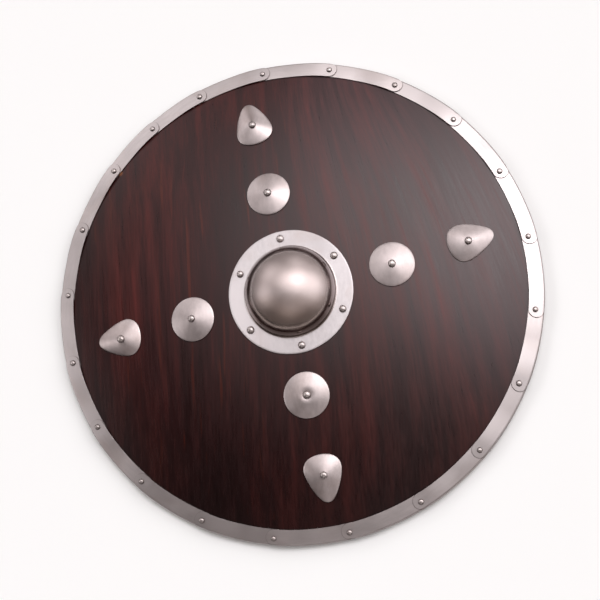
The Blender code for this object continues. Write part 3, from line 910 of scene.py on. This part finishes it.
def make_rivets(nodes, sizes, settings, steel, wander, sink=0.0, dents=None):
    """Rivets in the places of these solids, each of its own size and with its own hammer marks.

    sizes holds the head's radius and height, the radii of the shank and the tail, and how the
    names start. wander gives how far a rivet stands off its mark, outward and sideways. sink is
    how deep all are driven into their sheet, and dents how far some went down with it.
    """
    head_radius, head_height, shank_radius, tail_radius, start = sizes
    for index, node in enumerate(nodes):
        down = sink + (dents or {}).get(node, 0.0)
        seat = Seat(node, head_height + down, *wander(node))
        length = -seat.local()[:, 2].min()
        spread_head = head_radius * (1 + 0.05 * sin(2.4 * index))
        profile = rivet_profile(spread_head, head_height, shank_radius, length, tail_radius)
        local = turned(profile, 36)
        grid = seat.placed(local)
        top = np.clip(local[..., 2:] / head_height, 0, 1)
        marks = 1 + ripple(grid, HAMMER_MARKS, 21)[..., None]
        grid -= settings.hammering * top * marks * seat.upright
        foot = np.stack([local[..., 2] - sink] * 3, -1)
        faces = grid_faces(*grid.shape[:2], False, True)
        name = f"{start}_{index + 1:02d}"
        make_piece(name, grid, faces, steel, [node], {"foot": foot})


class SHIELD_OT_rivets(bpy.types.Operator):
    """Build every rivet of the rim, boss and plates"""

    bl_idname = "shield.rivets"
    bl_label = "Rivets"

    def execute(self, context):
        settings = context.scene.shield_rivets
        steel = satin_steel("rivet_steel", settings.colour, settings.roughness, foot="foot", patina=0.3)
        rim = (3.5 * MM, settings.rim_head, 1.9 * MM, 0.0, "rim_rivet_head")
        tail = (settings.shank, BUTTON_RADIUS)
        boss = (4.6 * MM, settings.boss_head, *tail, "boss_rivet_head")
        plate = (4.7 * MM, settings.plate_head, *tail, "plate_rivet_head")
        make_rivets(RIM_RIVETS, rim, settings, steel, rim_wander, settings.rim_sink)
        make_rivets(nodes_named("boss_rivet_"), boss, settings, steel, boss_wander)
        dents = {DENTED_PLATE: DENT_UNDER_HEAD * context.scene.shield_plates.dent}
        make_rivets(PLATES, plate, settings, steel, lambda node: PLATES[node][:2], dents=dents)
        return {"FINISHED"}


# Boss ----------------------------------------------------------------------------------------------


def boss_wall(settings, inset, count):
    """One side of the wall, this far in from the outside: the dome from its top, then the fillet.

    It is worked out as a ball and an arc out to the flange. Heights above the flange are then
    flattened to the dome's rise, which makes the section half an ellipse.
    """
    foot_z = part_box("boss")[1].z - settings.rise
    ball_radius = settings.radius - inset
    flattening = (settings.rise - inset) / ball_radius
    reach = settings.radius + settings.fillet
    meeting = np.arcsin(settings.fillet / reach)
    ball = arc((0.0, 0.0), ball_radius, pi / 2, meeting, count)
    centre = (reach * cos(meeting), settings.fillet)
    fillet = arc(centre, reach - ball_radius, pi + meeting, 1.5 * pi, 10)[1:]
    across, up = np.array(ball + fillet).T
    return np.stack([across, foot_z + np.minimum(up, up * flattening)], -1)


def boss_surface(settings):
    """The boss as one closed wall: dome, fillet, flange, rounded edge, then back along the inside.

    Hammered waves, of two lengths, move each point towards the flange's middle by the unevenness
    times the wave and the point's distance from there over the dome's radius.
    """
    flange_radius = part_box("boss")[1].x
    outside = boss_wall(settings, 0.0, 72)
    inside = boss_wall(settings, settings.sheet, 48)
    edge_z = face_z(flange_radius) + GAP
    soft = 0.45 * MM
    rim = np.array(
        [
            (flange_radius - soft, edge_z + settings.sheet),
            (flange_radius - 0.3 * soft, edge_z + settings.sheet - 0.3 * soft),
            (flange_radius, edge_z + settings.sheet - soft),
            (flange_radius, edge_z + 0.5 * soft),
            (flange_radius - 0.5 * soft, edge_z),
        ]
    )
    top = np.linspace(outside[-1], rim[0], 12)[1:-1]
    bottom = np.linspace(rim[-1], inside[-1], 8)[1:-1]
    profile = np.concatenate([outside, top, rim, bottom, inside[::-1]])
    profile[0, 0] = profile[-1, 0] = 0.0
    grid = turned(profile, 192)
    wave = ripple(grid, 30 * MM, 5) + 0.4 * ripple(grid, 13 * MM, 6)
    spread = grid - (0.0, 0.0, edge_z)
    grid += settings.unevenness * (wave - 1.0)[..., None] * spread / settings.radius
    return grid


class SHIELD_OT_boss(bpy.types.Operator):
    """Build the hollow boss: a raised dome with its riveted flange"""

    bl_idname = "shield.boss"
    bl_label = "Boss"

    def execute(self, context):
        settings = context.scene.shield_boss
        dome = (settings.dome_roughness, tuple(settings.dome_colour))
        plain = (settings.colour, settings.roughness)
        steel = satin_steel("boss_steel", *plain, pits=0.7, dome=dome, painted_light=BOSS_PAINTED_LIGHT)
        grid = boss_surface(settings)
        grid_piece("steel_boss", grid, (False, True), steel, ["boss"])
        return {"FINISHED"}


# Plates --------------------------------------------------------------------------------------------

# How each plate was set by hand: off its mark outward and sideways, then its radius for a round
# plate or its lean for a teardrop, and how far its middle lies beside the rivet
PLATES = {
    "round_plate_1": (-0.8 * MM, -1.0 * MM, 27.5 * MM, 0.5 * MM),
    "round_plate_2": (0.8 * MM, 0.2 * MM, 27.3 * MM, 0.0),
    "round_plate_3": (-1.6 * MM, 0.3 * MM, 27.6 * MM, 0.0),
    "round_plate_4": (-0.2 * MM, -1.5 * MM, 28.0 * MM, -0.8 * MM),
    "teardrop_plate_1": (-1.6 * MM, 2.5 * MM, radians(5), 1.1 * MM),
    "teardrop_plate_2": (0.0, 1.0 * MM, radians(4.5), 0.2 * MM),
    "teardrop_plate_3": (-2.4 * MM, -0.5 * MM, radians(-5.5), -1.6 * MM),
    "teardrop_plate_4": (0.8 * MM, 1.4 * MM, radians(0.5), -1.0 * MM),
}
# The plate sunk round its rivet, how wide the dent is, and how much of its depth is left where
# the rivet's head sits
DENTED_PLATE = "round_plate_4"
DENT_REACH = 6.5 * MM
DENT_UNDER_HEAD = 0.55
# Farther than this from the rivet, a plate's lowest corner points are its edge
CLEAR_OF_RIVET = 15 * MM
BEATING = 0.08 * MM
# How soon a plate's contours turn from its outline to circles round the rivet
ROUND_BY_RIVET = 0.7
# A teardrop is wrapped round three discs: one at its tip and two side by side at its base
TIP, TIP_RADIUS = 23.3 * MM, 9.1 * MM
BASE, BASE_HALF_WIDTH, BASE_RADIUS = -7.8 * MM, 8.2 * MM, 14.9 * MM
SIDE_BULGE = 3.0 * MM


def teardrop_outline(lean):
    """Points of a rounded triangle with slightly bulging sides, its tip turned outward by the lean.

    Its width in a direction is the greatest of three discs' widths, one at the tip and two at the
    base, blended by bulge ln(sum(exp(width / bulge))). The outline's point there is width times
    the direction plus the width's slope times the direction turned a quarter left.
    """
    facing = np.linspace(0, 2 * pi, 720, endpoint=False)
    direction = np.stack([np.cos(facing), np.sin(facing)], -1)
    discs = np.array([(TIP, 0.0), (BASE, BASE_HALF_WIDTH), (BASE, -BASE_HALF_WIDTH)])
    widths = direction @ discs.T + (TIP_RADIUS, BASE_RADIUS, BASE_RADIUS)
    share = np.exp(widths / SIDE_BULGE)
    width = SIDE_BULGE * np.log(share.sum(1))
    left = np.stack([-direction[:, 1], direction[:, 0]], -1)
    slope = (share * (left @ discs.T)).sum(1) / share.sum(1)
    point = width[:, None] * direction + slope[:, None] * left
    turned_by = np.array([(cos(lean), sin(lean)), (-sin(lean), cos(lean))])
    return point @ turned_by


def plate_outline(settings, node, angle, seed):
    """Distance from the rivet to a plate's edge: its plain outline, moved aside and a little uneven."""
    shape, aside = PLATES[node][2:]
    if node.startswith("round"):
        outline = shape + aside * np.sin(angle)
    else:
        point = teardrop_outline(shape) + (0.0, aside)
        bearing = np.arctan2(point[:, 1], point[:, 0])
        outline = np.interp(angle, bearing, np.hypot(*point.T), period=2 * pi)
    draw = np.random.default_rng(seed)
    for number in (2, 3, 4):
        size = draw.uniform(0.3, 1.0) * settings.unevenness / number
        phase = draw.uniform(0, 2 * pi)
        outline = outline + size * np.cos(number * angle + phase)
    return outline


def plate_surface(settings, node, head_height, seed):
    """A pressed plate as a closed grid: a shallow cone, a little rounder, with a rounded edge.

    Rows run out over the top, round the edge and back under it. A row's radius is its share times
    an outline that is round by the rivet and true at the edge, less an inset. Its height falls
    from the rivet to the sheet's thickness. A dented plate sinks round its rivet by a bell curve
    of the distance. Beating leaves faint waves, which end at the edge.
    """
    seat = Seat(node, head_height, *PLATES[node][:2])
    local = seat.local()
    base = local[np.hypot(local[:, 0], local[:, 1]) > CLEAR_OF_RIVET, 2].min()
    angle = np.linspace(0, 2 * pi, 144, endpoint=False)
    outline = plate_outline(settings, node, angle, seed)

    share = np.linspace(0.07, 1.0, 26)
    crown = -base - SHEET
    cone = crown * (1 - share) * (1 + settings.bulge * share)
    edge, bevel = settings.edge, 0.3 * settings.edge
    plain = np.zeros(len(share) - 1)
    shares = np.r_[share, np.ones(5), share[::-1]]
    insets = np.r_[plain, edge, bevel, 0, 0, bevel, edge, edge, plain]
    heights = np.r_[cone + SHEET, SHEET - bevel, SHEET - edge, SHEET / 2, bevel, 0.0, cone[::-1]]
    middle = outline.mean()
    rounded = middle + (outline - middle) * shares[:, None] ** ROUND_BY_RIVET
    radius = shares[:, None] * rounded - insets[:, None]
    upright = np.repeat(base + heights[:, None], len(angle), 1)
    if node == DENTED_PLATE:
        upright -= settings.dent * np.exp(-np.square(radius / DENT_REACH))
    grid = np.stack([radius * np.cos(angle), radius * np.sin(angle), upright], -1)
    placed = seat.placed(grid)
    beating = ripple(placed, 22 * MM, seed + 40)[..., None] * BEATING
    return placed + beating * np.minimum(1.0, heights / crown)[:, None, None] * seat.upright


class SHIELD_OT_plates(bpy.types.Operator):
    """Build the round and teardrop plates"""

    bl_idname = "shield.plates"
    bl_label = "Plates"

    def execute(self, context):
        settings = context.scene.shield_plates
        head = context.scene.shield_rivets.plate_head
        steel = satin_steel("plate_steel", settings.colour, settings.roughness)
        for index, node in enumerate(PLATES):
            grid = plate_surface(settings, node, head, index + 60)
            name = node.replace("plate", "steel_plate")
            grid_piece(name, grid, (True, True), steel, [node])
        return {"FINISHED"}


# Grip ----------------------------------------------------------------------------------------------

GRIP_RIVETS = ("boss_rivet_3", "boss_rivet_6")
GRIP_SQUARENESS = 5


def grip_surface(settings):
    """The grip as a grid: a squarish oval section carried along a bar that narrows to a waist.

    The section is |y / a|^5 + |z / b|^5 = 1, so y is a times the cosine to the power of 2 / 5. Its
    ends are rounded by a quarter circle that shrinks the section, and closed to a point on the
    flat end.
    """
    low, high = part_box("grip")
    thick = high.z - low.z
    soft = 3.5 * MM
    t = np.linspace(0, pi / 2, 6)
    half = settings.length / 2
    end = half - soft + soft * np.sin(t)
    inset = soft * (1 - np.cos(t))
    body = np.linspace(-half + soft, half - soft, 60)[1:-1]
    along = np.r_[-half, -end[::-1], body, end, half]
    inset = np.r_[soft, inset[::-1], np.zeros(len(body)), inset, soft]
    closed = np.ones(len(along))
    closed[0] = closed[-1] = 0.0
    wide = settings.waist + (settings.width - settings.waist) * (along / half) ** 2
    turn = np.linspace(0, 2 * pi, 72, endpoint=False)
    power = 2 / GRIP_SQUARENESS
    across = np.sign(np.cos(turn)) * np.abs(np.cos(turn)) ** power
    upright = np.sign(np.sin(turn)) * np.abs(np.sin(turn)) ** power
    y = np.outer(closed * (wide / 2 - inset), across)
    z = np.outer(closed * (thick / 2 - inset), upright) + (low.z + high.z) / 2
    grid = np.stack([np.repeat(along[:, None], len(turn), 1), y, z], -1)
    seats = [Seat(node, 0.0) for node in GRIP_RIVETS]
    ends = seats[0].origin - seats[1].origin
    direction = atan2(ends[1], ends[0])
    spin = np.array(Matrix.Rotation(direction, 3, "Z"))
    return grid @ spin.T, direction


class SHIELD_OT_grip(bpy.types.Operator):
    """Build the wooden grip behind the hand hole"""

    bl_idname = "shield.grip"
    bl_label = "Grip"

    def execute(self, context):
        settings = context.scene.shield_grip
        grid, direction = grip_surface(settings)
        wood = stained_wood("grip_wood", settings, turn=pi / 2 - direction, gloss=False)
        grid_piece("wooden_grip", grid, (False, True), wood, ["grip"])
        return {"FINISHED"}


# Stage ---------------------------------------------------------------------------------------------


def aim(thing, place, target, up):
    """Puts a camera or light at a place, looking along its -Z at the target, with this up direction."""
    back = (place - target).normalized()
    right = up.cross(back).normalized()
    axes = Matrix((right, back.cross(right), back)).transposed()
    thing.matrix_world = Matrix.Translation(place) @ axes.to_4x4()


def direction_at(tilt, turn):
    """Unit vector leaning from +Z by the tilt, towards the turn's direction round Z from +X."""
    return Vector((sin(tilt) * cos(turn), sin(tilt) * sin(turn), cos(tilt)))


# The camera's target stands at the level of the board's edge, and lies this share of the picture's
# width off its middle
EDGE_LEVEL = 11.5 * MM
FRAMING_SHIFT = (0.00976, -0.00773)


def add_camera(settings):
    """Adds the camera, which looks down at the middle of the shield with +Y up."""
    target = Vector((0, 0, EDGE_LEVEL))
    camera = bpy.data.cameras.new("camera")
    camera.lens = settings.lens
    camera.sensor_width = 36.0
    camera.shift_x, camera.shift_y = FRAMING_SHIFT
    camera.clip_end = 50.0
    eye = bpy.data.objects.new("camera", camera)
    bpy.context.scene.collection.objects.link(eye)
    view = direction_at(settings.camera_tilt, settings.camera_turn)
    aim(eye, target + view * settings.camera_distance, target, Vector((0, 1, 0)))
    bpy.context.scene.camera = eye


# Each light stands so many degrees to the right of the shield's axis and so many above it. All
# widths are in degrees too
KEY_PANEL = {"right": 2.0, "above": 19.0, "roll": -5.0, "half_width": 21.0, "half_height": 14.0}
KEY_STRENGTH = 4.6
LAMPS = {
    # right, above, angle at which it is half as bright, strength
    "bare bulb behind the key panel": (13.0, 20.0, 8.5, 7.0),
    "wide fill on the right": (49.0, 15.5, 21.0, 4.0),
    "lamp on the left": (-52.0, -2.0, 8.5, 5.5),
    "lamp high on the left": (-41.0, 38.0, 10.0, 4.0),
    "strip over the top": (8.0, 62.0, 9.0, 3.0),
    "reflector below": (0.0, -34.0, 13.0, 1.9),
}
# The dark place where the camera stands: right, above, angle at which it is half as dark
CAMERA_SHADE = (2.0, -9.5, 16.5)


def heading(right, above):
    """Direction so many degrees to the right of straight up and so many above it in the picture."""
    return direction_at(radians(sqrt(right**2 + above**2)), atan2(above, right))


class WorldLight(Nodes):
    """The studio's surroundings as a world shader, worked out from the direction looked in."""

    def __init__(self, name):
        self.world = bpy.data.worlds.new(name)
        super().__init__(self.world)
        self.tree.nodes.clear()
        self.looking = self.add("TexCoord").outputs["Generated"]

    def towards(self, direction):
        """Cosine of the angle between the looking direction and this one, times its length."""
        inputs = {0: self.looking, 1: direction}
        return self.add("VectorMath", inputs, operation="DOT_PRODUCT").outputs["Value"]

    def glow(self, right, above, half_angle):
        """exp(k (cos t - 1)), where t is the angle to the light and k makes it half at half_angle."""
        narrow = log(2) / (1 - cos(radians(half_angle)))
        power = self.math("MULTIPLY_ADD", self.towards(heading(right, above)), narrow, -narrow)
        return self.math("EXPONENT", power)

    def panel(self, right, above, roll, half_width, half_height):
        """A soft-edged rectangle: exp(-(u^4 + v^4)), u and v being its half widths off its middle."""
        middle = heading(right, above)
        side = Vector((0, 1, 0)).cross(middle).normalized()
        side.rotate(Matrix.Rotation(radians(roll), 3, middle))
        facing = self.towards(middle)
        u = self.math("DIVIDE", self.towards(side / tan(radians(half_width))), facing)
        rise = middle.cross(side) / tan(radians(half_height))
        v = self.math("DIVIDE", self.towards(rise), facing)
        u_squared, v_squared = self.math("MULTIPLY", u, u), self.math("MULTIPLY", v, v)
        u_fourth = self.math("MULTIPLY", u_squared, u_squared)
        fourth = self.math("MULTIPLY_ADD", v_squared, v_squared, u_fourth)
        power = self.math("MULTIPLY", fourth, -1.0)
        shape = self.math("EXPONENT", self.math("MAXIMUM", power, -60.0))
        return self.math("MULTIPLY", shape, self.math("GREATER_THAN", facing, 0.01))


def add_world(settings):
    """A dim warm room with a key panel, lamps and the dark place where the camera stands.

    The camera itself sees a white backdrop.
    """
    sky = WorldLight("studio")
    light = sky.math("MULTIPLY_ADD", sky.panel(**KEY_PANEL), KEY_STRENGTH, settings.room_light)
    for right, above, half_angle, strength in LAMPS.values():
        light = sky.math("MULTIPLY_ADD", sky.glow(right, above, half_angle), strength, light)
    shade = sky.math("SUBTRACT", 1.0, sky.glow(*CAMERA_SHADE))
    light = sky.math("MULTIPLY", light, shade)
    light = sky.math("MULTIPLY", light, settings.lamp_light)

    tint = sky.blend(light, settings.room_colour, settings.lamp_colour)
    room = sky.add("Background", {"Color": tint, "Strength": light})
    backdrop = sky.add("Background", {"Color": opaque(WHITE)})
    camera_looks = sky.add("LightPath").outputs["Is Camera Ray"]
    inputs = {0: camera_looks, 1: room.outputs[0], 2: backdrop.outputs[0]}
    seen = sky.add("MixShader", inputs).outputs[0]
    sky.add("OutputWorld", {"Surface": seen})
    bpy.context.scene.world = sky.world


FLOOR_RINGS = (0.0, 0.5, 1.5, 4.0, 12.0)


def add_floor(settings):
    """A wide pale floor: a flat grid of rings under the shield."""
    grid = turned([(radius, 0.0) for radius in FLOOR_RINGS], 96)
    faces = grid_faces(*grid.shape[:2], False, True)
    mesh = bpy.data.meshes.new("floor")
    mesh.from_pydata(grid.reshape(-1, 3).tolist(), [], faces.tolist())
    floor = bpy.data.objects.new("floor", mesh)
    bpy.context.scene.collection.objects.link(floor)
    paper = Finish("floor_paper", roughness=0.9)
    tone = paper.noise(paper.place(), 3.0, 2.0)
    colour = paper.blend(tone, lighter(settings.floor_colour, 0.99), settings.floor_colour)
    mesh.materials.append(paper.finish(base_color=colour))


class SHIELD_OT_stage(bpy.types.Operator):
    """Add the pale floor, the soft studio light and the camera"""

    bl_idname = "shield.stage"
    bl_label = "Stage"

    def execute(self, context):
        settings = context.scene.shield_stage
        context.scene.view_settings.view_transform = "Standard"
        add_camera(settings)
        add_world(settings)
        add_floor(settings)
        return {"FINISHED"}


# Add-on --------------------------------------------------------------------------------------------

OPERATORS = (
    SHIELD_OT_board,
    SHIELD_OT_rim,
    SHIELD_OT_rivets,
    SHIELD_OT_boss,
    SHIELD_OT_plates,
    SHIELD_OT_grip,
    SHIELD_OT_stage,
)

SETTINGS = (
    ("shield_board", BoardSettings),
    ("shield_rim", RimSettings),
    ("shield_rivets", RivetSettings),
    ("shield_boss", BossSettings),
    ("shield_plates", PlateSettings),
    ("shield_grip", GripSettings),
    ("shield_stage", StageSettings),
)


class SHIELD_PT_panel(bpy.types.Panel):
    """Lists each piece's operator and settings"""

    bl_label = "Round Shield"
    bl_idname = "SHIELD_PT_panel"
    bl_space_type = "VIEW_3D"
    bl_region_type = "UI"
    bl_category = "Shield"

    def draw(self, context):
        for (key, group), operator in zip(SETTINGS, OPERATORS):
            box = self.layout.box()
            box.operator(operator.bl_idname)
            for name in group.__annotations__:
                box.prop(getattr(context.scene, key), name)


def register():
    for key, group in SETTINGS:
        bpy.utils.register_class(group)
        setattr(bpy.types.Scene, key, PointerProperty(type=group))
    for operator in OPERATORS:
        bpy.utils.register_class(operator)
    bpy.utils.register_class(SHIELD_PT_panel)


def unregister():
    bpy.utils.unregister_class(SHIELD_PT_panel)
    for operator in reversed(OPERATORS):
        bpy.utils.unregister_class(operator)
    for key, group in reversed(SETTINGS):
        delattr(bpy.types.Scene, key)
        bpy.utils.unregister_class(group)


def main():
    register()
    bpy.ops.shield.board()
    bpy.ops.shield.rim()
    bpy.ops.shield.rivets()
    bpy.ops.shield.boss()
    bpy.ops.shield.plates()
    bpy.ops.shield.grip()
    bpy.ops.shield.stage()


if __name__ == "__main__":
    main()
